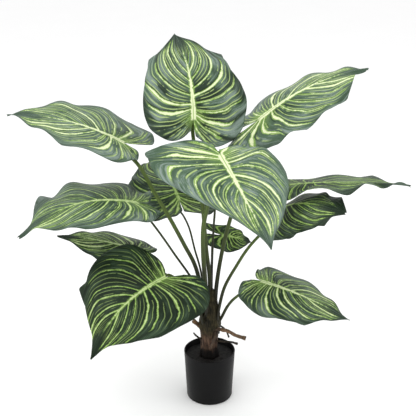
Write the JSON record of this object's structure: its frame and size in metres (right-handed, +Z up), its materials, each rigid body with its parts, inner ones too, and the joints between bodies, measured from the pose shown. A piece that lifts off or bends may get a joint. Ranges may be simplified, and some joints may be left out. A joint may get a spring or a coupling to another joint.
{
  "type": "potted plant",
  "caption": "Potted house plant with heart-shaped, cream-striped leaves on long stems that rise from a short brown trunk in a small plain round black pot.",
  "frame": {"origin": "centre of the pot's flat underside, on the surface it stands on", "axes": "+Z up along the pot's axis, -Y towards the front"},
  "size_m": [0.7177, 0.3185, 0.6965],
  "materials": {
    "leaf": "satin printed fabric, dark green with cream and lime stripes along the veins",
    "stem": "satin olive green",
    "trunk": "matte moulded brown",
    "root": "matte moulded brown",
    "filling": "dark rough hard filling",
    "pot": "plain black, slightly satin"
  },
  "bodies": {
    "root": {"pot": "pot", "filling": "filling", "trunk": "trunk", "root_right": "root", "root_left": "root", "root_front": "root", "twig_left": "root", "twig_right": "root", "twig_rim": "root", "leaf_01_top_blade": "leaf", "leaf_01_top_stem": "stem", "leaf_02_right_top_blade": "leaf", "leaf_02_right_top_stem": "stem", "leaf_03_left_top_blade": "leaf", "leaf_03_left_top_stem": "stem", "leaf_04_left_middle_blade": "leaf", "leaf_04_left_middle_stem": "stem", "leaf_05_left_small_blade": "leaf", "leaf_05_left_small_stem": "stem", "leaf_06_left_low_blade": "leaf", "leaf_06_left_low_stem": "stem", "leaf_07_front_blade": "leaf", "leaf_07_front_stem": "stem", "leaf_08_right_blade": "leaf", "leaf_08_right_stem": "stem", "leaf_09_right_middle_blade": "leaf", "leaf_09_right_middle_stem": "stem", "leaf_10_back_left_blade": "leaf", "leaf_10_back_left_stem": "stem", "leaf_11_centre_small_blade": "leaf", "leaf_11_centre_small_stem": "stem", "leaf_12_right_low_blade": "leaf", "leaf_12_right_low_stem": "stem"}
  },
  "joints": []
}
